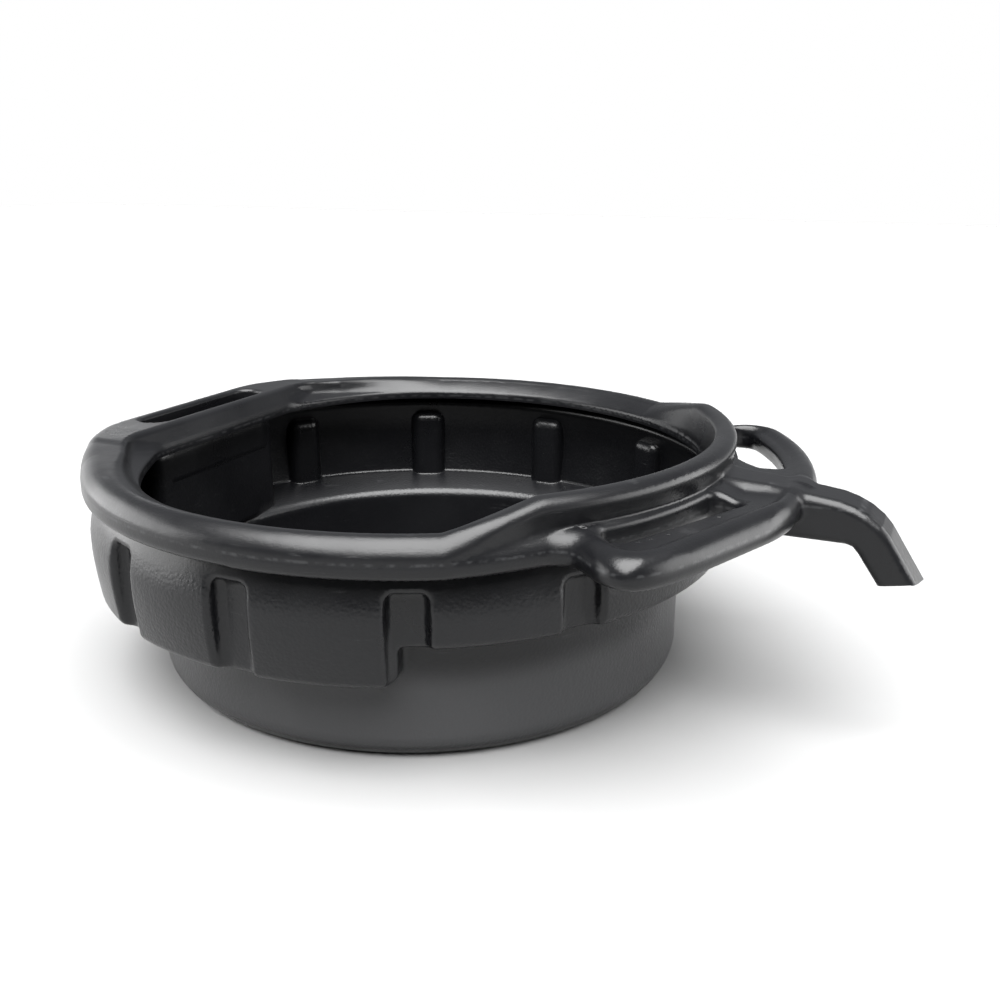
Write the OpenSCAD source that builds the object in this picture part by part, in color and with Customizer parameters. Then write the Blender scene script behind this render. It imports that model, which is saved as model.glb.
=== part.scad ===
// Oil drain pan with a long hand grip, a raised splash guard, two loop handles and a pouring spout.
// The whole pan is one hollow sheet of blow-moulded polyethylene, so each node is a region of that
// sheet, and neighbouring regions meet face to face.
// Frame: origin at the centre of the underside, +X towards the spout, +Z up, millimetres.

/* [Base] */
// Outer radius of the round lower tank
tank_r = 160; // [154:1:164]
// Radius of the rounded corner between floor and tank wall
base_corner_r = 15; // [8:1:20]
// Thickness of the moulded sheet
sheet = 2.5; // [2:0.25:3]

/* [Belt] */
// Outer radius of the wide belt above the tank
belt_r = 190; // [187:1:192]
// Height of the tank wall below the deep part of the belt
deep_ledge_z = 49; // [42:1:54]
// Height of the tank wall below the shallow part of the belt
shallow_ledge_z = 69; // [62:1:72]
// Rise of the ledge from the tank out to the belt
ledge_rise = 7; // [4:1:9]
// Height at which the belt panels end
belt_top_z = 103; // [101:1:104]
// Depth of the upright grooves between the belt panels
groove_depth = 9; // [5:1:10]
// Angle that one groove takes up
groove_angle = 6.8; // [5:0.1:8]
// Angle between grooves on the front side
front_pitch = 27; // [26:1:28]
// Angle between grooves on the rear side
rear_pitch = 30; // [29:1:30]

/* [Rim] */
// Outer radius of the rolled rim
rim_r = 199; // [197:1:201]
// Height of the crest of the rim
rim_top_z = 134.6; // [132:0.2:136]
// Inner radius of the trimmed lip
lip_r = 172; // [169:1:174]
// Height of the trimmed edge of the lip
lip_edge_z = 120.5; // [118:0.5:122]

/* [Splash guard] */
// Height of the top of the splash guard
guard_top_z = 148; // [142:1:154]
// Half of the angle over which the guard has its full height
guard_half_angle = 46; // [44:1:48]
// Angle of the ramp at each end of the guard
ramp_angle = 14; // [10:1:18]

/* [Hand grip] */
// Distance from the centre to the straight outer edge of the grip
grip_out_x = 186; // [184:1:190]
// Distance from the centre to the inner edge of the grip's flat top
grip_in_x = 148.5; // [147:0.5:151]
// Height of the flat top of the grip
grip_top_z = 137.5; // [136:0.5:140]
// Half of the length of the grip
grip_half_y = 98; // [96:1:99]
// Width of the hand slot
slot_w = 19; // [16:1:20]
// Length of the hand slot
slot_len = 112; // [90:1:116]

/* [Loop handles] */
// Outer radius of the loop handles
loop_r = 238; // [232:1:242]
// Height of the top of the loop handles
loop_top_z = 131; // [129:1:132]
// Height of the underside of the loop handles
loop_bottom_z = 110; // [109.5:0.5:114]
// Outer radius of the finger gap
gap_r = 213; // [209:1:216]
// Angle of the spout end of the finger gap
gap_start = 13; // [11:1:16]
// Angle of the far end of the finger gap
gap_end = 37; // [34:1:38]
// Radius of the rounded outer corner of a loop
loop_corner_r = 25; // [18:1:25]

/* [Spout] */
// Width of the spout
spout_w = 30; // [28:1:34]
// Height of the underside of the spout arm
spout_bottom_z = 103.5; // [102:0.5:105]
// Height of the spout's top where it leaves the guard
spout_root_z = 132; // [131.5:0.5:133]
// Height of the spout's top where it starts to bend
spout_bend_z = 127; // [125:0.5:128]
// Distance from the centre to the start of the bend
spout_bend_x = 250; // [246:1:254]
// Distance from the centre to the outer corner of the cut tip
spout_tip_x = 296; // [292:1:300]
// Height of the cut tip
spout_tip_z = 83; // [78:1:88]

/* [Hidden] */
$fn = 180;
arc_steps = 8;
far = 400;
plastic = "#232427";
plastic_light = "#2d2e32";

// Angles of the grooves, counted from the spout, and the two ends of the deep part of the belt
front_grooves = [for (i = [0:4]) -11 - front_pitch * i];
rear_grooves = [for (i = [0:4]) 26 + rear_pitch * i];
half_groove = groove_angle / 2;
deep_start = rear_grooves[1] + half_groove;
deep_end = 360 + front_grooves[2] - half_groove;
groove_side_angle = 0.8;
groove_r = belt_r - groove_depth;

// The recess behind the grip, which makes room for the fingers
recess_x = 156;
recess_half_y = 60;
shoulder_r = belt_r - 3.5;
shoulder_z = 109;
slot_x = recess_x + slot_w / 2;
lip_x = 143;
panel_foot = 4;
ledge_drop = 2.5;

// The spout: where its arm begins, and the corners where its bend passes into the down-turned tip
spout_arm_x = 225;
tip_slope = 54;
tip_width = 21.5;
tip_wall_x = 2.9;
bend_drop = 14;
upper_x = spout_tip_x - (spout_bend_z - bend_drop - spout_tip_z) / tan(tip_slope);
upper_z = spout_bend_z - bend_drop;
lower_x = spout_bend_x + 10;
lower_z = spout_bottom_z - 2.5;

function lerp(a, b, u) = a + (b - a) * u;
function arc(x, z, r, a0, a1) =
    [for (i = [0:arc_steps]) let (a = lerp(a0, a1, i / arc_steps)) [x + r * cos(a), z + r * sin(a)]];

// Outline of the sheet that forms the rim, from its underside over the crest to the lip and back
rim_arc_r = 11;
rim_arc = [rim_r - rim_arc_r, rim_top_z - rim_arc_r];
rim_outline = concat(
    [[shoulder_r, shoulder_z], [rim_r - 6, shoulder_z], [rim_r - 2.5, shoulder_z + 3],
     [rim_r, shoulder_z + 11]],
    arc(rim_arc[0], rim_arc[1], rim_arc_r, 0, 90),
    [[lip_r + 7, rim_top_z - 2.8], [lip_r + 2, rim_top_z - 6.8], [lip_r, lip_edge_z + 5],
     [lip_r, lip_edge_z], [lip_r + sheet, lip_edge_z], [lip_r + sheet, lip_edge_z + 3.9],
     [lip_r + 3.8, rim_top_z - 8.6], [lip_r + 8, rim_top_z - 5.3]],
    arc(rim_arc[0], rim_arc[1], rim_arc_r - sheet, 90, 0),
    [[rim_r - sheet, shoulder_z + 11.4], [rim_r - 4.8, shoulder_z + 4.2],
     [rim_r - 7, shoulder_z + sheet], [shoulder_r - sheet, shoulder_z + sheet],
     [shoulder_r - sheet, shoulder_z]]);

// The same outline where the sheet rises into the splash guard, point for point
guard_arc_r = 8.5;
guard_arc = [belt_r - 2.5, guard_top_z - guard_arc_r];
guard_outline = concat(
    [[shoulder_r, shoulder_z], [belt_r - 1.5, shoulder_z], [belt_r, shoulder_z + 2],
     [belt_r, guard_top_z - 14]],
    arc(guard_arc[0], guard_arc[1], guard_arc_r, 0, 90),
    [[lip_r + 9, guard_top_z], [lip_r + 5.5, guard_top_z - 3], [lip_r + 0.5, lip_edge_z + 5.5],
     [lip_r, lip_edge_z], [lip_r + sheet, lip_edge_z], [lip_r + 3, lip_edge_z + 5.3],
     [lip_r + 7.8, guard_top_z - 4.2], [lip_r + 10, guard_top_z - sheet]],
    arc(guard_arc[0], guard_arc[1], guard_arc_r - sheet, 90, 0),
    [[belt_r - sheet, guard_top_z - 13.2], [belt_r - sheet, shoulder_z + 3],
     [belt_r - sheet, shoulder_z + sheet], [shoulder_r - sheet, shoulder_z + sheet],
     [shoulder_r - sheet, shoulder_z]]);

// Turns a closed outline of [radius, height] points through part of a circle
module sector(outline, a0, a1) {
    rotate_extrude(angle = a1 - a0, start = a0) polygon(outline);
}

// Closed outline of an upright wall
function wall(r, z0, z1) = [[r - sheet, z0], [r, z0], [r, z1], [r - sheet, z1]];

// Triangles that fill a sheet outline of n points, in strips between its outer and inner side
function end_faces(n) = concat([[0, n - 2, n - 1]], [for (j = [0:(n - 5) / 2]) each
    [[j, j + 1, n - 3 - j], [j, n - 3 - j, n - 2 - j]]]);

// Solid that joins a row of sheet outlines with equal numbers of points, each given in space
module skin(rings) {
    n = len(rings[0]);
    last = len(rings) - 1;
    points = [for (ring = rings) each ring];
    sides = [for (k = [0:last - 1]) for (i = [0:n - 1]) let (
        a = k * n + i, b = k * n + (i + 1) % n, c = b + n, d = a + n) each [[a, b, c], [a, c, d]]];
    first_end = [for (f = end_faces(n)) [f[2], f[1], f[0]]];
    last_end = [for (f = end_faces(n)) [for (v = f) last * n + v]];
    polyhedron(points, concat(sides, first_end, last_end), convexity = 10);
}

module floor_plate() {
    color(plastic) cylinder(r = tank_r - base_corner_r, h = sheet);
}

module base_corner() {
    c = tank_r - base_corner_r;
    color(plastic) rotate_extrude() polygon(concat(
        arc(c, base_corner_r, base_corner_r, -90, 0),
        arc(c, base_corner_r, base_corner_r - sheet, 0, -90)));
}

module tank_wall() {
    color(plastic) {
        sector(wall(tank_r, base_corner_r, deep_ledge_z), deep_start, deep_end);
        sector(wall(tank_r, base_corner_r, shallow_ledge_z), deep_end - 360, deep_start);
    }
}

// Space behind the grip that is kept free of the belt
module recess_space(grow) {
    translate([-far - recess_x + grow, -recess_half_y - grow, 0])
        cube([far, 2 * (recess_half_y + grow), far]);
}

function ledge(z) = [[tank_r - sheet, z], [tank_r, z], [belt_r, z + ledge_rise],
    [belt_r, z + ledge_rise + panel_foot], [belt_r - sheet, z + ledge_rise + panel_foot],
    [tank_r - sheet, z + ledge_drop]];

module deep_ledge() {
    color(plastic_light) difference() {
        sector(ledge(deep_ledge_z), deep_start, deep_end);
        recess_space(sheet);
    }
}

module shallow_ledge() {
    color(plastic_light) sector(ledge(shallow_ledge_z), deep_end - 360, deep_start);
}

// Upright plates that close the belt where it changes from deep to shallow
module ledge_steps() {
    outline = [[tank_r, deep_ledge_z], [belt_r, deep_ledge_z + ledge_rise],
        [belt_r, shallow_ledge_z + ledge_rise], [tank_r, shallow_ledge_z]];
    color(plastic) {
        sector(outline, deep_end, deep_end + groove_side_angle);
        sector(outline, deep_start - groove_side_angle, deep_start);
    }
}

// Panels between a row of grooves, each given by its two end angles
module panels(ends, foot_z) {
    for (pair = ends) sector(wall(belt_r, foot_z, belt_top_z), pair[0], pair[1]);
}

// Grooves at the given angles: a set-back wall, two sides and a cap
module grooves(angles, foot_z) {
    cap_z = belt_top_z - sheet;
    side = [[groove_r - sheet, foot_z], [belt_r, foot_z], [belt_r, cap_z], [groove_r - sheet, cap_z]];
    cap = [[groove_r - sheet, cap_z], [belt_r, cap_z], [belt_r, belt_top_z],
        [groove_r - sheet, belt_top_z]];
    for (a = angles) {
        a0 = a - half_groove;
        a1 = a + half_groove;
        sector(side, a0, a0 + groove_side_angle);
        sector(side, a1 - groove_side_angle, a1);
        sector(wall(groove_r, foot_z, cap_z), a0 + groove_side_angle, a1 - groove_side_angle);
        sector(cap, a0, a1);
    }
}

deep_foot_z = deep_ledge_z + ledge_rise + panel_foot;
shallow_foot_z = shallow_ledge_z + ledge_rise + panel_foot;

module deep_panels() {
    r = rear_grooves;
    f = front_grooves;
    color(plastic_light) difference() {
        panels([[deep_start, r[2] - half_groove], [r[2] + half_groove, r[3] - half_groove],
            [r[3] + half_groove, r[4] - half_groove], [r[4] + half_groove, 180],
            [180, 360 + f[4] - half_groove], [360 + f[4] + half_groove, 360 + f[3] - half_groove],
            [360 + f[3] + half_groove, deep_end]], deep_foot_z);
        recess_space(sheet);
    }
}

module deep_grooves() {
    color(plastic) grooves([for (i = [2:4]) rear_grooves[i]], deep_foot_z);
    color(plastic) grooves([for (i = [3:4]) front_grooves[i]], deep_foot_z);
}

module shallow_panels() {
    r = rear_grooves;
    f = front_grooves;
    color(plastic_light) panels([[f[2] + half_groove, f[1] - half_groove],
        [f[1] + half_groove, f[0] - half_groove], [f[0] + half_groove, r[0] - half_groove],
        [r[0] + half_groove, r[1] - half_groove]], shallow_foot_z);
}

module shallow_grooves() {
    color(plastic) grooves([for (i = [0:2]) front_grooves[i]], shallow_foot_z);
    color(plastic) grooves([for (i = [0:1]) rear_grooves[i]], shallow_foot_z);
}

// Sloping ring that leads from the belt in to the neck below the rim
module belt_shoulder() {
    color(plastic) difference() {
        rotate_extrude() polygon([[belt_r - sheet, belt_top_z], [belt_r, belt_top_z],
            [shoulder_r, shoulder_z], [shoulder_r - sheet, shoulder_z]]);
        recess_space(sheet);
    }
}

// Flat wall and sides of the recess below the hand slot
module hand_recess() {
    foot_z = deep_ledge_z;
    color(plastic) difference() {
        union() {
            translate([-recess_x, -recess_half_y - sheet, foot_z])
                cube([sheet, 2 * (recess_half_y + sheet), shoulder_z - foot_z]);
            for (y = [-recess_half_y - sheet, recess_half_y])
                translate([-far, y, foot_z]) cube([far - recess_x, sheet, shoulder_z - foot_z]);
            difference() {
                translate([-tank_r, -recess_half_y, foot_z])
                    cube([tank_r - recess_x, 2 * recess_half_y, sheet]);
                translate([0, 0, foot_z - sheet]) cylinder(r = tank_r - sheet, h = 3 * sheet);
            }
        }
        difference() {
            translate([-2 * far, -far, 0]) cube([2 * far, 2 * far, far]);
            rotate_extrude() polygon([[0, deep_ledge_z], [tank_r, deep_ledge_z],
                [belt_r, deep_ledge_z + ledge_rise], [belt_r, belt_top_z], [shoulder_r, shoulder_z],
                [0, shoulder_z]]);
        }
    }
}

// One side of the rolled rim, from the end of the guard's ramp to the end plane of the grip
module rim_half(side) {
    difference() {
        sector(rim_outline, side > 0 ? guard_half_angle + ramp_angle : 180,
            side > 0 ? 180 : 360 - guard_half_angle - ramp_angle);
        translate([-far, -grip_half_y, 0]) cube([far, 2 * grip_half_y, far]);
    }
}

module rim_front() {
    color(plastic_light) rim_half(-1);
}

module rim_rear() {
    color(plastic_light) rim_half(1);
}

// Passage from the space behind the guard's face into the spout
module spout_mouth() {
    translate([0, -spout_w / 2 + sheet, shoulder_z + sheet])
        cube([far, spout_w - 2 * sheet, loop_top_z - shoulder_z - 2 * sheet]);
}

module splash_guard() {
    color(plastic_light) difference() {
        sector(guard_outline, -guard_half_angle, guard_half_angle);
        intersection() {
            spout_mouth();
            difference() {
                cylinder(r = far, h = far);
                cylinder(r = shoulder_r - 2 * sheet, h = far);
            }
        }
    }
}

// Ramp from the guard's end down to the rolled rim
module guard_ramp(side) {
    steps = 8;
    skin([for (k = [0:steps]) let (
        u = side > 0 ? k / steps : 1 - k / steps,
        a = side * (guard_half_angle + ramp_angle * u))
        [for (i = [0:len(rim_outline) - 1]) let (p = lerp(guard_outline[i], rim_outline[i], u))
            [p[0] * cos(a), p[0] * sin(a), p[1]]]]);
}

module guard_ramp_front() {
    color(plastic_light) guard_ramp(-1);
}

module guard_ramp_rear() {
    color(plastic_light) guard_ramp(1);
}

// Block of the grip, bounded by the straight outer edge and the round rim
module grip_block(inset) {
    edge = 7;
    x0 = -grip_out_x + inset;
    z0 = shoulder_z + inset;
    z1 = grip_top_z - inset;
    y = grip_half_y - inset;
    intersection() {
        translate([0, y, 0]) rotate([90, 0, 0]) linear_extrude(2 * y) polygon([[x0, z0 + edge / 2],
            [x0 + edge / 2, z0], [-grip_in_x, z0], [-grip_in_x, z1], [x0 + edge, z1],
            [x0 + edge / 3, z1 - edge / 3], [x0, z1 - edge]]);
        cylinder(r = rim_r - inset, h = far);
    }
}

// Upright prism with round ends, as long as the hand slot
module slot_prism(grow) {
    r = slot_w / 2 + grow;
    y = slot_len / 2 - slot_w / 2;
    translate([-slot_x - r, -y, 0]) cube([2 * r, 2 * y, far]);
    for (side = [-1, 1]) translate([-slot_x, side * y, 0]) cylinder(r = r, h = far);
}

module grip_deck() {
    color(plastic_light) difference() {
        grip_block(0);
        difference() {
            union() {
                grip_block(sheet);
                intersection() {
                    cylinder(r = shoulder_r - sheet, h = grip_top_z - sheet);
                    translate([-far, -grip_half_y + sheet, shoulder_z - sheet])
                        cube([far - grip_in_x + sheet, 2 * (grip_half_y - sheet), far]);
                }
            }
            translate([-recess_x, -recess_half_y - sheet, 0])
                cube([sheet, 2 * (recess_half_y + sheet), far]);
            intersection() {
                recess_space(sheet);
                cylinder(r = far, h = shoulder_z + sheet);
            }
            slot_prism(sheet);
        }
        slot_prism(0);
    }
}

// Sloping inner face of the grip and the trimmed lip below it
module grip_lip() {
    top = grip_top_z;
    color(plastic_light) translate([0, grip_half_y, 0]) rotate([90, 0, 0])
        linear_extrude(2 * grip_half_y) polygon([[-grip_in_x, top], [-grip_in_x, top - 2 * sheet],
            [-lip_x - sheet, lip_edge_z + 4.5], [-lip_x - sheet, lip_edge_z], [-lip_x, lip_edge_z],
            [-lip_x, lip_edge_z + 5.5]]);
}

// Cross-section of a loop handle, rounded along its outer edge
loop_edge_r = 9;
function loop_section(inset) =
    let (r = loop_edge_r - inset, x = loop_r - inset - r, z0 = loop_bottom_z + inset, z1 = loop_top_z - inset)
    concat([[belt_r + inset, z0]], arc(x, z0 + r, r, -90, 0), arc(x, z1 - r, r, 0, 90),
        [[belt_r + inset, z1]]);

// A loop handle with its finger gap and rounded corner, cut back on every side by inset
module loop_shape(inset) {
    turn = inset > 0 ? 0.7 : 0;
    c = loop_corner_r;
    corner_angle = guard_half_angle - asin(c / (loop_r - c));
    difference() {
        sector(loop_section(inset), 0, guard_half_angle - turn);
        sector([[0, 0], [gap_r + inset, 0], [gap_r + inset, far], [0, far]],
            gap_start - turn, gap_end + turn);
        translate([0, -far + spout_w / 2 + inset, 0]) cube([far, far, far]);
        difference() {
            sector([[loop_r - c, 0], [far, 0], [far, far], [loop_r - c, far]],
                corner_angle, guard_half_angle + 1);
            rotate([0, 0, corner_angle]) translate([loop_r - c, 0, -1])
                cylinder(r = c - inset, h = far);
        }
    }
}

module loop_handle() {
    difference() {
        loop_shape(0);
        loop_shape(sheet);
    }
}

module loop_handle_front() {
    color(plastic_light) mirror([0, 1, 0]) loop_handle();
}

module loop_handle_rear() {
    color(plastic_light) loop_handle();
}

// Height of the spout's sloping top at a distance from the centre
function spout_top_z(x) = lerp(spout_root_z, spout_bend_z, (x - belt_r) / (spout_bend_x - belt_r));

// Solid length of the spout between two distances from the centre
module spout_box(x0, x1, inset) {
    w = spout_w - 2 * inset;
    translate([0, w / 2, 0]) rotate([90, 0, 0]) linear_extrude(w) polygon([
        [x0, spout_bottom_z + inset], [x1, spout_bottom_z + inset],
        [x1, spout_top_z(x1) - inset], [x0, spout_top_z(x0) - inset]]);
}

module spout_tube(x0, x1) {
    difference() {
        spout_box(x0, x1, 0);
        spout_box(x0 - 1, x1 + 1, sheet);
    }
}

module spout_root() {
    color(plastic) difference() {
        spout_tube(belt_r - 5, spout_arm_x);
        cylinder(r = belt_r, h = far);
    }
}

module spout_arm() {
    color(plastic) spout_tube(spout_arm_x, spout_bend_x);
}

// Side outline of the spout drawn out to the width w
module spout_side(outline, w) {
    translate([0, w / 2, 0]) rotate([90, 0, 0]) linear_extrude(w) polygon(outline);
}

module spout_bend() {
    outer = concat([[spout_bend_x, spout_bottom_z], [lower_x - 4, spout_bottom_z],
        [lower_x, lower_z], [upper_x, upper_z]],
        [for (u = [0.25, 0.5, 0.75]) [lerp(upper_x, spout_bend_x, u),
            lerp(upper_z, spout_bend_z, 1 - (1 - u) * (1 - u))]],
        [[spout_bend_x, spout_bend_z]]);
    inner = concat([[spout_bend_x - 1, spout_bottom_z + sheet],
        [lower_x - 3, spout_bottom_z + sheet], [lower_x + 1.5, lower_z + 1],
        [upper_x - 1.6, upper_z - 1.4]],
        [for (u = [0.25, 0.5, 0.75]) [lerp(upper_x, spout_bend_x, u) - sheet / 2,
            lerp(upper_z, spout_bend_z, 1 - (1 - u) * (1 - u)) - sheet]],
        [[spout_bend_x - 1, spout_bend_z - sheet]]);
    color(plastic) difference() {
        spout_side(outer, spout_w);
        spout_side(inner, spout_w - 2 * sheet);
    }
}

module spout_tip() {
    color(plastic) difference() {
        spout_side([[lower_x, lower_z], [spout_tip_x - tip_width, spout_tip_z],
            [spout_tip_x, spout_tip_z], [upper_x, upper_z]], spout_w);
        spout_side([[lower_x + 1.5, lower_z + 1], [spout_tip_x - tip_width + tip_wall_x, spout_tip_z - 1],
            [spout_tip_x - tip_wall_x, spout_tip_z - 1], [upper_x - 1.6, upper_z - 1.4]],
            spout_w - 2 * sheet);
    }
}

floor_plate();
base_corner();
tank_wall();
deep_ledge();
shallow_ledge();
ledge_steps();
deep_panels();
deep_grooves();
shallow_panels();
shallow_grooves();
belt_shoulder();
hand_recess();
rim_front();
rim_rear();
splash_guard();
guard_ramp_front();
guard_ramp_rear();
grip_deck();
grip_lip();
loop_handle_front();
loop_handle_rear();
spout_root();
spout_arm();
spout_bend();
spout_tip();
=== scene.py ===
import math

import bpy
import numpy as np
from mathutils import Matrix, Vector


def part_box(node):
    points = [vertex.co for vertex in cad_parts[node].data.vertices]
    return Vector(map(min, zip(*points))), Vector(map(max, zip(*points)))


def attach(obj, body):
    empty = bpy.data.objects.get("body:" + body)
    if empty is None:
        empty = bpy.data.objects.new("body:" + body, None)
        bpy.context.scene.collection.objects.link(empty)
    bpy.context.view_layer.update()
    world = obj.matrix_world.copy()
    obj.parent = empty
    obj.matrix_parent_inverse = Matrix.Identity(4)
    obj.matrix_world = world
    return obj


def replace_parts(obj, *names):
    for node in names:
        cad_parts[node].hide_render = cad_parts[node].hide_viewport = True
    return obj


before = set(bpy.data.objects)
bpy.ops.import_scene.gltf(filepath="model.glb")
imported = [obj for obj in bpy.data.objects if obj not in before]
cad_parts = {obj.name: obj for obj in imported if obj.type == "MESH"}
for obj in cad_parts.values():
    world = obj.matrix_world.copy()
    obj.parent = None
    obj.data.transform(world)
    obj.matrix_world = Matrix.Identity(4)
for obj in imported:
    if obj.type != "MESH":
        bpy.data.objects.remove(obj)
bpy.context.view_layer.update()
MM = 1000.0


def corners(node):
    """Lowest and highest corner of a CAD node, in millimetres."""
    low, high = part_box(node)
    return np.array(low) * MM, np.array(high) * MM


# ---------------------------------------------------------------- sizes from the frame, in mm
sheet = 2.5
tank_r = corners("tank_wall")[1][0]
base_corner_r = corners("base_corner")[1][2]
belt_r = corners("belt_shoulder")[1][0]
belt_top = corners("belt_shoulder")[0][2]
neck_z = corners("belt_shoulder")[1][2]
deep_z = corners("deep_ledge")[0][2]
shallow_z = corners("shallow_ledge")[0][2]
rim_r = corners("rim_rear")[1][1] - 0.4
rim_top = corners("rim_rear")[1][2]
guard_top = corners("splash_guard")[1][2] - 0.1
lip_r = rim_r - 26.6
lip_z = corners("grip_lip")[0][2]
grip_lip_x = -corners("grip_lip")[1][0]
grip_out = -corners("grip_deck")[0][0] - 0.2
grip_in = -corners("grip_deck")[1][0]
grip_top = corners("grip_deck")[1][2]
grip_y = corners("grip_deck")[1][1]
recess_x = -corners("hand_recess")[1][0] + sheet
recess_y = corners("hand_recess")[1][1] - sheet
spout_half = corners("spout_arm")[1][1]
loop_top = corners("loop_handle_rear")[1][2]
tip_x, tip_z = corners("spout_tip")[1][0], corners("spout_tip")[0][2]

# ---------------------------------------------------------------- the visual model, in mm and degrees
groove_az = np.array([-116.5, -92.0, -65.0, -38.0, 26.0, 56.0, 86.0, 116.0, 146.0])
deep_from, deep_to = 58.0, -66.6      # the deep ledge runs round the grip from one azimuth to the other
seam_z = 43.0                         # the turned tank meets the meshed moulding here
well_z = 116.0                        # top of the belt's solid, hidden in the rim
belt_shift = 6.0                      # how far the belt's centre lies towards the grip
belt_swell = 1.9                      # how far the belt stands outside its CAD radius
belt_limit = 185.4                    # keeps the belt inside the CAD box at the grip
rim_under = neck_z + 5.2              # underside of the rim and the loops
guard_foot = (60.0, 55.0)             # azimuth where the guard's ramp starts, near side and far side
guard_crest = (45.5, 34.5)            # azimuth where it reaches full height
loop_end = (42.5, 38.5)               # azimuth of each loop's free end
loop_out = 237.7                      # largest radius of the loops
parting_z = 122.7                     # where the two halves of the mould met
cut_gap = 3.5                         # width of the edge left round the trimmed well
voxel_full, voxel_quick = 2.0, 2.6
floor_grey = 0.25


# ---------------------------------------------------------------- the moulding as one field
def fillet(a, b, k):
    """Union of two fields with a concave fillet of radius k."""
    return np.maximum(k, np.minimum(a, b)) - np.hypot(np.maximum(k - a, 0), np.maximum(k - b, 0))


def edge(a, b, k):
    """Intersection of two fields with a rounded edge of radius k."""
    return np.minimum(-k, np.maximum(a, b)) + np.hypot(np.maximum(k + a, 0), np.maximum(k + b, 0))


def ramp(v, a, b):
    return np.clip((v - a) / (b - a), 0, 1)


def ease(t):
    return t * t * (3 - 2 * t)


def line(r, z, r0, z0, r1, z1):
    """Signed distance to a line in the section, positive above and inside it."""
    dr, dz = r1 - r0, z1 - z0
    return (dr * (z - z0) - dz * (r - r0)) / np.hypot(dr, dz)


def ray(x, y, azimuth):
    """Distance past an upright plane through the axis, counted towards growing azimuth."""
    a = np.radians(azimuth)
    return np.cos(a) * y - np.sin(a) * x


spout_outline = np.array([
    (180, spout_bottom := 103.5), (180, 132.2), (198, 132), (211, 131.4), (227, 129.4), (242, 127.8),
    (251, 126.6), (258.6, 124.3), (265.8, 120.8), (272.2, 116.1), (276.9, 110.9), (tip_x - 0.9, tip_z),
    (tip_x + 7.1, tip_z - 11.2), (tip_x - 14.8, tip_z - 11.2), (tip_x - 22.8, tip_z), (261.8, 99.3),
    (258.9, 102.4), (255.5, spout_bottom)])


def outline_distance(x, z, points):
    """Signed distance to a closed outline in the XZ plane, negative inside."""
    best = np.full(np.broadcast(x, z).shape, 1e9, np.float32)
    inside = np.zeros(best.shape, bool)
    for (x0, z0), (x1, z1) in zip(points, np.roll(points, -1, 0)):
        ex, ez = x1 - x0, z1 - z0
        t = np.clip(((x - x0) * ex + (z - z0) * ez) / (ex * ex + ez * ez), 0, 1)
        best = np.minimum(best, (x - x0 - t * ex) ** 2 + (z - z0 - t * ez) ** 2)
        if z0 != z1:
            inside ^= ((z0 <= z) != (z1 <= z)) & (x < x0 + (z - z0) * ex / ez)
    return np.where(inside, -1, 1) * np.sqrt(best)


def belt_field(x, y, z):
    """The belt with its two ledges, its shoulder and its upright grooves."""
    x0, x = x, x + belt_shift
    r = np.hypot(x, y)
    wall = r - (belt_r + belt_swell - 2.4 * ramp(z, 85, 60) ** 1.6)
    rise = 7 * (r - tank_r) / (belt_r - tank_r) - z
    sector = np.minimum(ray(x0, y, deep_to), -ray(x0, y, deep_from))
    foot = fillet(shallow_z + rise, edge(deep_z + rise, sector, 7), 3)
    belt = edge(wall, foot, 4)
    cone = (r - belt_r - 2) * 0.82 + (z - belt_top - 1) * 0.572
    belt = edge(belt, cone, 8)
    belt = edge(belt, -x0 - belt_limit, 5)
    azimuth = np.degrees(np.arctan2(y, x0))
    nearest = groove_az[np.abs(azimuth[..., None] - groove_az).argmin(-1)]
    a = np.radians(nearest)
    across = np.abs(np.cos(a) * y - np.sin(a) * x0)
    depth = np.cos(a) * x + np.sin(a) * y - (belt_r - 7)
    groove = edge(across - 9.2 - 0.22 * np.clip(depth, 0, 12), -depth, 4)
    groove = edge(groove, z - 104, 4.5)
    return edge(belt, -groove, 3.2)


def guard_share(x, y):
    """0 on the plain rim, 1 on the raised splash guard, and between them along its two ramps."""
    side = np.abs(np.degrees(np.arctan2(y, x)))
    foot, crest = np.where(y < 0, *guard_foot), np.where(y < 0, *guard_crest)
    t, soft = (foot - side) / (foot - crest), 0.1
    return np.where(t > 1 - soft, 1 - np.maximum(1 + soft - t, 0) ** 2 / (4 * soft), np.maximum(t, 0))


def lip_radius(x, y):
    """The well's cut edge, which draws in towards the grip."""
    side = np.abs(np.degrees(np.arctan2(y, x)))
    return lip_r - 11.2 * ease(ramp(side, 117, 152))


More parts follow.
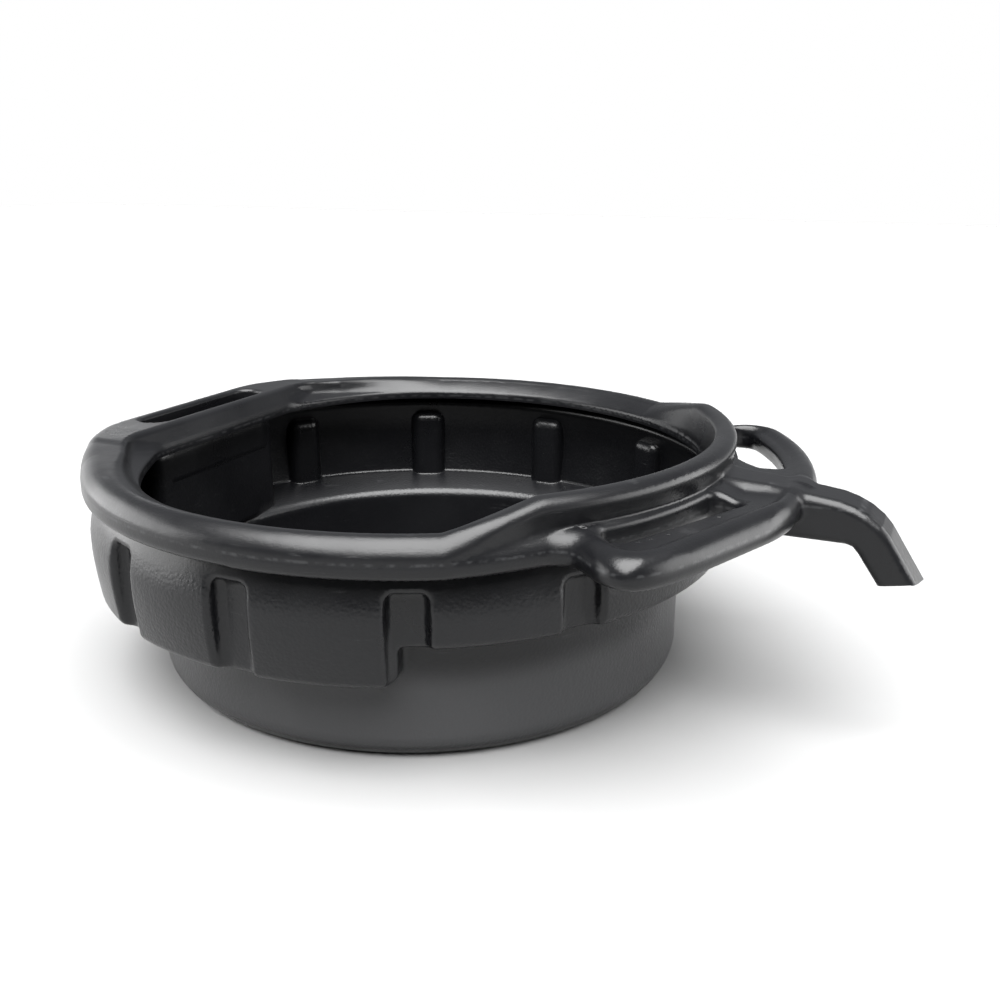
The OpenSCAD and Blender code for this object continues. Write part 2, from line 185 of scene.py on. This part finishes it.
def rim_field(x, y, z, r):
    """The rolled rim with the splash guard and the hand grip's deck."""
    u, v = -x, np.abs(y)
    side = np.abs(np.degrees(np.arctan2(y, x)))
    g = guard_share(x, y)
    crease = 0.7 * ramp(v, 101, 107) * ramp(side, 122, 140)
    lift = 3.0 * ease(ramp(side, 112, 148)) - crease
    top = rim_top + (guard_top - rim_top) * g + lift
    out_r = rim_r - 8.1 * g - 2.5 * g * ramp(z, 144, 131)
    plan = edge(r - out_r, u - grip_out, 9)
    crown = z - top + 0.25 * g * np.maximum(r - 181, 0)
    solid = edge(plan, crown, 13 - 7.5 * ramp(g, 0, 0.6) - 6 * ramp(side, 138, 150))
    foot = edge(r - (rim_r - 5.6 * g), u - grip_out, 9)
    solid = edge(solid, foot, 1)
    w = ramp(side, 112, 138)
    p1r, p1z = lip_r + 7 - 1.5 * g - 7.2 * w, rim_top - 3.0 + 14.8 * g - 0.6 * w
    p2r, p2z = lip_r + 14 - 4.5 * g - 13 * w, rim_top - 0.3 + 13.6 * g + lift - 0.7 * w
    slope = edge(lip_r - w - r, line(r, z, lip_r - w, lip_z + 5, p1r, p1z), 1.2)
    ledge = 0.9 * (1 - w) * (1 - g) * ramp(r, lip_r + 14, lip_r + 11)
    slope = edge(slope, line(r, z, p1r, p1z, p2r, p2z) + ledge, 2.5)
    lip = lip_radius(x, y)
    flange = edge(lip - r, line(r, z, lip, lip_z + 5, lip + 7, lip_z + 8), 1.2)
    slope = fillet(slope, flange, 0.1 + 2.9 * w)
    grip = edge(grip_lip_x - u, line(u, z, grip_lip_x, lip_z + 5, grip_in, grip_top - 1), 1.2)
    slope = fillet(slope, grip, 0.1 + 4 * w)
    return edge(solid, slope, 2.5)


def loop_field(x, y, z, r):
    """The low bead round the guard's foot and the two loop handles with the deck inside them."""
    v, near = np.abs(y), y < 0
    g = guard_share(x, y)
    straight = np.where(near, 0.928 * x + 0.371 * v - 232, r - 237)
    end = ray(x, v, np.where(near, *loop_end))
    rail = edge(edge(straight, end, np.where(near, 30, 27)), r - loop_out, 5)
    round_end = fillet(r - (rim_r - 5.6 * g), rail, 10)
    plan = np.where(near, edge(round_end, x - 233, 10), round_end)
    body = edge(plan, z - loop_top + 0.4 - 1.2 * ramp(r, 197, 188), 11)
    deck = loop_top + 0.5 - 4 * ramp(r, 191, 203)
    web = np.maximum(np.maximum(round_end + 14, r - 210), z - deck)
    body = edge(body, -edge(round_end + 14, deck - z, 3.5), 4)
    body = np.minimum(body, np.maximum(web, rail))
    gap = edge(np.where(near, 0.902 * x + 0.432 * v - 202.2, r - 217), -ray(x, v, 10.3), 5)
    gap = edge(edge(gap, ray(x, v, np.where(near, 37.5, 35.5)), 9), 191.5 - r, 6)
    body = edge(body, -gap, 4)
    return np.maximum(np.maximum(body, 183 - r), -x)


def pan(x, y, z):
    """The outer surface of the moulding, as a field that is negative inside the filled shape."""
    x, y, z = np.broadcast_arrays(x, y, z)
    r = np.hypot(x, y)
    u, v = -x, np.abs(y)
    body = fillet(belt_field(x, y, z), r - tank_r, 3.5)
    recess = edge(recess_x - u, v - recess_y, 6)
    recess = edge(recess, deep_z + 0.5 - z, 3)
    body = edge(body, -recess, 4)
    body = np.maximum(body, z - well_z)
    rim = rim_field(x, y, z, r)
    upper = fillet(rim, loop_field(x, y, z, r), 0.05 + 1.5 * ramp(guard_share(x, y), 0.1, 0.6))
    upper = edge(upper, rim_under - z, 5.5)
    finger_room = edge(edge(recess_x - u, v - recess_y, 6), z - grip_top + 19, 4)
    upper = edge(upper, -np.maximum(finger_room, 100 - z), 4)
    spout = edge(outline_distance(x, z, spout_outline), v - spout_half, 5)
    upper = fillet(upper, spout, 5)
    whole = fillet(body, upper, 2.5)
    slot = np.hypot(np.maximum(v - 46.5, 0), u - recess_x - 9.5) - 9.5
    return edge(whole, -np.maximum(slot, 100 - z), 2.5)


def keep(x, y, z):
    """Positive where the moulding is kept: above the seam, outside the trimmed well, above the tip's cut."""
    inside_well = np.maximum(np.hypot(x, y) - lip_radius(x, y), -x - grip_lip_x) - cut_gap
    well = np.maximum(np.maximum(z - lip_z, inside_well), well_z - 1.5 - z)
    cut = tip_z - 0.3 + 0.19 * (x - 285) - 0.223 * y
    return np.minimum(np.minimum(z - seam_z, well), np.maximum(z - cut, 262 - x))


# ---------------------------------------------------------------- meshing the field
def gradient(field, p, d=0.05):
    """Central differences of a field, one row a point."""
    out = np.empty_like(p)
    for i in range(3):
        hi, lo = p.copy(), p.copy()
        hi[:, i] += d
        lo[:, i] -= d
        out[:, i] = (field(*hi.T) - field(*lo.T)) / (2 * d)
    return out


def onto(p, times=4):
    """Moves points onto the moulding's surface."""
    for _ in range(times):
        g = gradient(pan, p)
        step = pan(*p.T) / np.maximum((g * g).sum(1), 0.2)
        p = p - g * np.clip(step, -2, 2)[:, None]
    return p


def surface_nets(h):
    """Quads near the moulding's surface, one vertex in each grid cell that the surface crosses."""
    low = np.array([-190.0, -202.0, seam_z - 1.5 * h])
    count = np.ceil((np.array([300.0, 202.0, 152.0]) - low) / h).astype(int)
    axes = [low[i] + h * np.arange(count[i]) for i in range(3)]
    grid = np.empty(tuple(count), np.float32)
    x, y = axes[0][:, None, None], axes[1][None, :, None]
    for k in range(0, count[2], 8):
        grid[:, :, k:k + 8] = pan(x, y, axes[2][None, None, k:k + 8])
    inside = grid < 0
    n = np.array(grid.shape) - 1
    offsets = [(i, j, k) for i in (0, 1) for j in (0, 1) for k in (0, 1)]
    total = sum(inside[i:n[0] + i, j:n[1] + j, k:n[2] + k].astype(np.int8) for i, j, k in offsets)
    cell = np.argwhere((total > 0) & (total < 8))
    value = {o: grid[tuple((cell + o).T)] for o in offsets}
    point = np.zeros((len(cell), 3))
    hits = np.zeros(len(cell))
    for a in offsets:
        for axis in range(3):
            if a[axis]:
                continue
            b = tuple(1 if i == axis else a[i] for i in range(3))
            va, vb = value[a], value[b]
            cross = (va < 0) != (vb < 0)
            t = np.where(cross, va / np.where(cross, va - vb, 1), 0)
            corner = np.tile(np.array(a, float), (len(cell), 1))
            corner[:, axis] += t
            point[cross] += corner[cross]
            hits += cross
    point = low + h * (cell + point / hits[:, None])
    number = np.full(tuple(n), -1, np.int32)
    number[tuple(cell.T)] = np.arange(len(cell))
    quads = []
    for axis in range(3):
        step = np.eye(3, dtype=int)[axis]
        a = inside[:n[0] + 1 - step[0], :n[1] + 1 - step[1], :n[2] + 1 - step[2]]
        b = inside[step[0]:, step[1]:, step[2]:]
        at = np.argwhere(a != b)
        o1, o2 = np.eye(3, dtype=int)[(axis + 1) % 3], np.eye(3, dtype=int)[(axis + 2) % 3]
        good = (at[:, (axis + 1) % 3] > 0) & (at[:, (axis + 2) % 3] > 0)
        good &= (at[:, (axis + 1) % 3] < n[(axis + 1) % 3]) & (at[:, (axis + 2) % 3] < n[(axis + 2) % 3])
        at = at[good]
        ring = [number[tuple((at - d).T)] for d in (o1 + o2, o2, 0 * o1, o1)]
        quad = np.stack(ring, 1)
        flip = ~a[tuple(at.T)]
        quad[flip] = quad[flip][:, ::-1]
        quads.append(quad)
    return point, np.concatenate(quads)


def relax(point, quads, times):
    """Evens out the quads while the points stay on the surface."""
    for _ in range(times):
        total = np.zeros_like(point)
        weight = np.zeros(len(point))
        for i in range(4):
            for j in (1, 3):
                np.add.at(total, quads[:, i], point[quads[:, (i + j) % 4]])
                np.add.at(weight, quads[:, i], 1)
        point = point + 0.5 * (total / np.maximum(weight, 1)[:, None] - point)
        point = onto(point, 2)
    return point


def trim(point, quads):
    """Cuts the surface along the edge of what is kept, and slides the border points onto the cut."""
    kept = keep(*point.T) > 0.25
    quads = quads[kept[quads].any(1)]
    border = np.zeros(len(point), bool)
    border[quads.ravel()] = True
    border &= ~kept
    p = point[border]
    for _ in range(8):
        g = gradient(pan, p)
        g /= np.linalg.norm(g, axis=1)[:, None] + 1e-9
        c = gradient(keep, p)
        c -= g * (c * g).sum(1)[:, None]
        c2 = (c * c).sum(1)
        step = np.where(c2 > 0.02, keep(*p.T) / np.maximum(c2, 0.02), 0)
        p = p - c * np.clip(step, -2, 2)[:, None]
        p = onto(p, 1)
    point = point.copy()
    point[border] = p
    used = np.unique(quads)
    remap = np.full(len(point), -1, np.int32)
    remap[used] = np.arange(len(used))
    return point[used], remap[quads]


points, faces = surface_nets(voxel_full)
points = onto(points)
points = relax(points, faces, 2)
points, faces = trim(points, faces)
normals = gradient(pan, points)
normals /= np.linalg.norm(normals, axis=1)[:, None]


# ---------------------------------------------------------------- materials
def set_range(node, *limits):
    for key, number in zip(("From Min", "From Max", "To Min", "To Max"), limits):
        node.inputs[key].default_value = number


def hdpe(name):
    """Black polyethylene: orange peel, a pebbled grain on the belt and the tank, scuffs, scratches and a
    painted sheen on the tank wall.
    """
    mat = bpy.data.materials.new(name)
    mat.use_nodes = True
    nodes, links = mat.node_tree.nodes, mat.node_tree.links
    shader = nodes["Principled BSDF"]
    shader.inputs["Specular IOR Level"].default_value = 0.36
    place = nodes.new("ShaderNodeTexCoord").outputs["Object"]
    split = nodes.new("ShaderNodeSeparateXYZ")
    links.new(place, split.inputs[0])

    def stretched(x, y, z, turn=0):
        node = nodes.new("ShaderNodeMapping")
        node.inputs["Scale"].default_value = (x, y, z)
        node.inputs["Rotation"].default_value = (0, math.radians(turn), 0)
        links.new(place, node.inputs["Vector"])
        return node.outputs["Vector"]

    def noise(at, scale, detail=3, rough=0.5):
        node = nodes.new("ShaderNodeTexNoise")
        node.inputs["Scale"].default_value = scale
        node.inputs["Detail"].default_value = detail
        node.inputs["Roughness"].default_value = rough
        links.new(at, node.inputs["Vector"])
        return node.outputs["Fac"]

    def spread(value, low, high, to_low=0.0, to_high=1.0):
        node = nodes.new("ShaderNodeMapRange")
        node.interpolation_type = "SMOOTHSTEP"
        set_range(node, low, high, to_low, to_high)
        links.new(value, node.inputs["Value"])
        return node.outputs["Result"]

    def maths(kind, a, b):
        node = nodes.new("ShaderNodeMath")
        node.operation = kind
        for socket, value in zip(node.inputs, (a, b)):
            if isinstance(value, (int, float)):
                socket.default_value = value
            else:
                links.new(value, socket)
        return node.outputs[0]

    def blend_colour(fac, a, b):
        node = nodes.new("ShaderNodeMix")
        node.data_type = "RGBA"
        links.new(fac, node.inputs["Factor"])
        for key, value in zip((6, 7), (a, b)):
            if isinstance(value, tuple):
                node.inputs[key].default_value = (*value, 1)
            else:
                links.new(value, node.inputs[key])
        return node.outputs[2]

    height = split.outputs["Z"]
    grained = spread(height, 0.100, 0.106, 1, 0.12)
    out_x, out_y = split.outputs["X"], split.outputs["Y"]
    squares = [maths("MULTIPLY", axis, axis) for axis in (out_x, out_y)]
    outwards = maths("SQRT", maths("ADD", *squares), 0)
    on_tank = maths("MULTIPLY", spread(height, 0.040, 0.058, 1, 0), spread(outwards, 0.1578, 0.1592))
    clouds = noise(place, 14, 4, 0.6)
    patches = spread(noise(place, 46, 5, 0.65), 0.5, 0.75)
    scratches = spread(noise(stretched(60, 60, 900), 1.0, 2), 0.62, 0.74)
    slanting = spread(noise(stretched(30, 30, 420, 38), 1.0, 3), 0.6, 0.75)
    from_parting = maths("ABSOLUTE", maths("SUBTRACT", height, parting_z / MM), 0)
    near_seam = maths("MULTIPLY", spread(from_parting, 0.0002, 0.0011, 1, 0),
                      spread(noise(place, 220, 2), 0.4, 0.62))
    scuffs = maths("MULTIPLY", patches, maths("MAXIMUM", scratches, maths("MULTIPLY", slanting, on_tank)))
    base = blend_colour(clouds, (0.0026, 0.0027, 0.0033), (0.0052, 0.0054, 0.0063))
    # painted sheen: the tank wall's base colour is lighter, standing in for the light it catches from the
    # white floor
    base = blend_colour(maths("MULTIPLY", on_tank, 0.7), base, (0.048, 0.0485, 0.0500))
    base = blend_colour(maths("MULTIPLY", scuffs, 0.55), base, (0.045, 0.046, 0.048))
    base = blend_colour(maths("MULTIPLY", near_seam, 0.35), base, (0.050, 0.051, 0.053))
    links.new(base, shader.inputs["Base Color"])
    rough = spread(clouds, 0.3, 0.7, 0.26, 0.37)
    rough = maths("ADD", rough, maths("MULTIPLY", on_tank, 0.07))
    rough = maths("ADD", rough, maths("MULTIPLY", scuffs, 0.12))
    links.new(rough, shader.inputs["Roughness"])

    pebbles = nodes.new("ShaderNodeTexVoronoi")
    pebbles.feature = "SMOOTH_F1"
    pebbles.inputs["Scale"].default_value = 560
    pebbles.inputs["Smoothness"].default_value = 0.7
    links.new(place, pebbles.inputs["Vector"])
    # relief in metres: orange peel, its coarser waves, slow unevenness, the grain and the scratches
    relief = maths("MULTIPLY", noise(place, 1100, 2, 0.6), 0.00006)
    for pattern, depth in ((noise(place, 260, 3, 0.55), 0.00006), (noise(place, 38, 2, 0.5), 0.0003),
                           (maths("MULTIPLY", pebbles.outputs["Distance"], grained), -0.00013),
                           (scratches, -0.00002)):
        relief = maths("ADD", relief, maths("MULTIPLY", pattern, depth))
    bump = nodes.new("ShaderNodeBump")
    bump.inputs["Strength"].default_value = 1.0
    bump.inputs["Distance"].default_value = 1.0
    links.new(relief, bump.inputs["Height"])
    links.new(bump.outputs["Normal"], shader.inputs["Normal"])
    return mat


black = hdpe("black_polyethylene")


# ---------------------------------------------------------------- pieces
def make(name, verts, polys, loop_normals):
    """A smooth mesh with its own normals, which rides on the root body."""
    mesh = bpy.data.meshes.new(name)
    mesh.from_pydata([tuple(v) for v in verts / MM], [], [tuple(int(i) for i in f) for f in polys])
    mesh.polygons.foreach_set("use_smooth", np.ones(len(polys), bool))
    mesh.normals_split_custom_set([tuple(v) for v in loop_normals])
    mesh.materials.append(black)
    piece = bpy.data.objects.new(name, mesh)
    bpy.context.scene.collection.objects.link(piece)
    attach(piece, "root")
    return piece


def shell(name, quads):
    """A region of the moulding as a closed sheet: outer face, inner face and the strip between them."""
    used = np.unique(quads)
    remap = np.full(len(points), -1, np.int64)
    remap[used] = np.arange(len(used))
    quads = remap[quads]
    outer, n = points[used], normals[used]
    count = len(used)
    sides = np.concatenate([np.stack([quads[:, i], quads[:, (i + 1) % 4]], 1) for i in range(4)])
    key = sides[:, 0] * count + sides[:, 1]
    back = sides[:, 1] * count + sides[:, 0]
    open_side = sides[~np.isin(key, back)]
    start, end = open_side[:, 0], open_side[:, 1]
    strip = np.stack([end, start, start + count, end + count], 1)
    verts = np.concatenate([outer, outer - n * sheet])
    polys = np.concatenate([quads, quads[:, ::-1] + count, strip])
    corner = verts[strip]
    strip_n = np.cross(corner[:, 2] - corner[:, 0], corner[:, 3] - corner[:, 1])
    strip_n /= np.linalg.norm(strip_n, axis=1)[:, None] + 1e-12
    loops = np.concatenate([n[quads].reshape(-1, 3), -n[quads[:, ::-1]].reshape(-1, 3),
                            np.repeat(strip_n, 4, 0)])
    return make(name, verts, polys, loops)


def tank():
    """The floor, its rounded corner and the upright wall, turned round the axis."""
    c = tank_r - base_corner_r
    turns = np.radians(np.linspace(-90, 0, 11))

    def side(radius, face):
        flat = [(r, base_corner_r - radius, 0, -face) for r in (20, 50, 80, 110, 130)]
        arc = [(c + radius * math.cos(t), base_corner_r + radius * math.sin(t), face * math.cos(t),
                face * math.sin(t)) for t in turns]
        wall = [(c + radius, z, face, 0) for z in (22, 29, 36, seam_z)]
        return flat + arc + wall

    ring = np.array(side(base_corner_r, 1) + side(base_corner_r - sheet, -1)[::-1])
    m, half = len(ring), len(ring) // 2
    steps = 288
    a = np.arange(steps) * 2 * math.pi / steps
    out = np.stack([np.cos(a), np.sin(a)], 1)
    verts = np.concatenate([(out[:, None, :] * ring[None, :, :1]), np.broadcast_to(
        ring[None, :, 1:2], (steps, m, 1))], 2).reshape(-1, 3)
    facing = np.concatenate([(out[:, None, :] * ring[None, :, 2:3]), np.broadcast_to(
        ring[None, :, 3:4], (steps, m, 1))], 2).reshape(-1, 3)
    verts = np.concatenate([verts, [(0, 0, 0), (0, 0, sheet)]])
    facing = np.concatenate([facing, [(0, 0, -1), (0, 0, 1)]])
    bottom, top = len(verts) - 2, len(verts) - 1
    polys, loops = [], []
    for i in range(steps):
        j = (i + 1) % steps
        for k in range(m - 1):
            polys.append((i * m + k, j * m + k, j * m + k + 1, i * m + k + 1))
            loops += [(0, 0, 1)] * 4 if k == half - 1 else [facing[n] for n in polys[-1]]
        for face in ((bottom, j * m, i * m), (top, i * m + m - 1, j * m + m - 1)):
            polys.append(face)
            loops += [facing[n] for n in face]
    return make("tank", verts, polys, loops)


centre = points[faces].mean(1)
fx, fy, fz = centre.T
fr = np.hypot(fx, fy)
faz = np.degrees(np.arctan2(fy, fx))
high = fz > neck_z + 0.2
region = np.full(len(faces), "belt", object)
region[(~high) & (fx < -recess_x + 5) & (np.abs(fy) < recess_y + 5)] = "hand_recess"
region[high & (fy < 0)] = "rim_front"
region[high & (fy >= 0)] = "rim_rear"
region[high & (np.abs(faz) < 60)] = "splash_guard"
region[high & (fx < -100) & (np.abs(fy) < grip_y)] = "hand_grip"
out = (fz < loop_top + 1.5) & (fr > belt_r + 1) & (np.abs(faz) < 52) & (high | (fr > belt_r + 3))
region[out & (np.abs(faz) < 47) & (fy < 0)] = "loop_handle_front"
region[out & (np.abs(faz) < 47) & (fy >= 0)] = "loop_handle_rear"
region[(fr > belt_r + 1) & (np.abs(fy) < spout_half + 2) & (fx > 0)] = "pouring_spout"

stands_for = {
    "belt": ["deep_ledge", "shallow_ledge", "ledge_steps", "deep_panels", "deep_grooves",
             "shallow_panels", "shallow_grooves", "belt_shoulder"],
    "hand_recess": ["hand_recess"],
    "rim_front": ["rim_front"],
    "rim_rear": ["rim_rear"],
    "splash_guard": ["splash_guard", "guard_ramp_front", "guard_ramp_rear"],
    "hand_grip": ["grip_deck", "grip_lip"],
    "loop_handle_front": ["loop_handle_front"],
    "loop_handle_rear": ["loop_handle_rear"],
    "pouring_spout": ["spout_root", "spout_arm", "spout_bend", "spout_tip"],
}
for name, cad_nodes in stands_for.items():
    piece = shell(name + "_skin", faces[region == name])
    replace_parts(piece, *cad_nodes)
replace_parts(tank(), "floor_plate", "base_corner", "tank_wall")


# ---------------------------------------------------------------- stage, light and camera
def paper():
    """The floor. It is a mid grey that the strong light brings to near white."""
    mat = bpy.data.materials.new("pale_floor")
    mat.use_nodes = True
    shader = mat.node_tree.nodes["Principled BSDF"]
    shader.inputs["Base Color"].default_value = (floor_grey, floor_grey, floor_grey, 1)
    shader.inputs["Roughness"].default_value = 0.9
    return mat


floor_mesh = bpy.data.meshes.new("floor")
floor_mesh.from_pydata([(-6, -6, 0), (6, -6, 0), (6, 6, 0), (-6, 6, 0)], [], [(0, 1, 2, 3)])
floor_mesh.materials.append(paper())
floor = bpy.data.objects.new("floor", floor_mesh)
bpy.context.scene.collection.objects.link(floor)

bpy.context.scene.view_settings.view_transform = "Standard"
world = bpy.data.worlds.new("studio")
world.use_nodes = True
nodes, links = world.node_tree.nodes, world.node_tree.links
room = nodes["Background"]
room.inputs["Color"].default_value = (0.95, 0.97, 1, 1)
towards = nodes.new("ShaderNodeVectorMath")
towards.operation = "DOT_PRODUCT"
towards.inputs[1].default_value = (-0.45, 0.87, 0.2)
links.new(nodes.new("ShaderNodeTexCoord").outputs["Generated"], towards.inputs[0])
sweep = nodes.new("ShaderNodeMapRange")
set_range(sweep, 0.0, 0.7, 0.06, 0.34)
links.new(towards.outputs["Value"], sweep.inputs["Value"])
links.new(sweep.outputs["Result"], room.inputs["Strength"])
backdrop = nodes.new("ShaderNodeBackground")
backdrop.inputs["Color"].default_value = (1, 1, 1, 1)
backdrop.inputs["Strength"].default_value = 1.0
seen = nodes.new("ShaderNodeLightPath")
either = nodes.new("ShaderNodeMixShader")
links.new(seen.outputs["Is Camera Ray"], either.inputs["Fac"])
links.new(room.outputs["Background"], either.inputs[1])
links.new(backdrop.outputs["Background"], either.inputs[2])
links.new(either.outputs["Shader"], nodes["World Output"].inputs["Surface"])
bpy.context.scene.world = world


def softbox(name, place, aim, size, power):
    data = bpy.data.lights.new(name, "AREA")
    data.shape = "RECTANGLE"
    data.size, data.size_y = size
    data.energy = power
    light = bpy.data.objects.new(name, data)
    light.location = place
    light.rotation_euler = (Vector(aim) - Vector(place)).to_track_quat("-Z", "Y").to_euler()
    bpy.context.scene.collection.objects.link(light)


softbox("left_light", (-1.38, -0.42, 0.40), (0, 0, 0.08), (1.4, 0.8), 17)
softbox("right_light", (1.3, 0.5, 0.36), (0, 0, 0.05), (1.3, 0.8), 16)
softbox("low_light", (-1.15, 0.62, 0.22), (0, 0, 0.1), (0.7, 0.5), 1.1)
key = bpy.data.lights.new("key_light", "SUN")
key.energy = 13.5
key.angle = math.radians(68)
sun = bpy.data.objects.new("key_light", key)
sun.rotation_euler = Vector((0.08, -0.33, 1)).to_track_quat("Z", "Y").to_euler()
bpy.context.scene.collection.objects.link(sun)


def rotation(axis, degrees):
    return np.array(Matrix.Rotation(math.radians(degrees), 3, axis))


# The camera, fitted to the photograph: its turn about the pan, place, tilt and small roll.
turn = -27.526
distance, height = 0.642743, 0.291585
tilt = math.atan2(height - 0.060, distance)
look = np.array([[1, 0, 0], [0, -math.sin(tilt), -math.cos(tilt)], [0, math.cos(tilt), -math.sin(tilt)]])
look = rotation("Z", -1.073) @ rotation("X", -2.457) @ rotation("Y", -4.124) @ look
look = look @ rotation("Z", turn)
place = rotation("Z", -turn) @ np.array([0, -distance, height])
camera_data = bpy.data.cameras.new("camera")
camera_data.sensor_width = 36
camera_data.lens = 38.456
camera = bpy.data.objects.new("camera", camera_data)
pose = np.eye(4)
pose[:3, 0], pose[:3, 1], pose[:3, 2], pose[:3, 3] = look[0], -look[1], -look[2], place
camera.matrix_world = Matrix(pose.tolist())
bpy.context.scene.collection.objects.link(camera)
bpy.context.scene.camera = camera
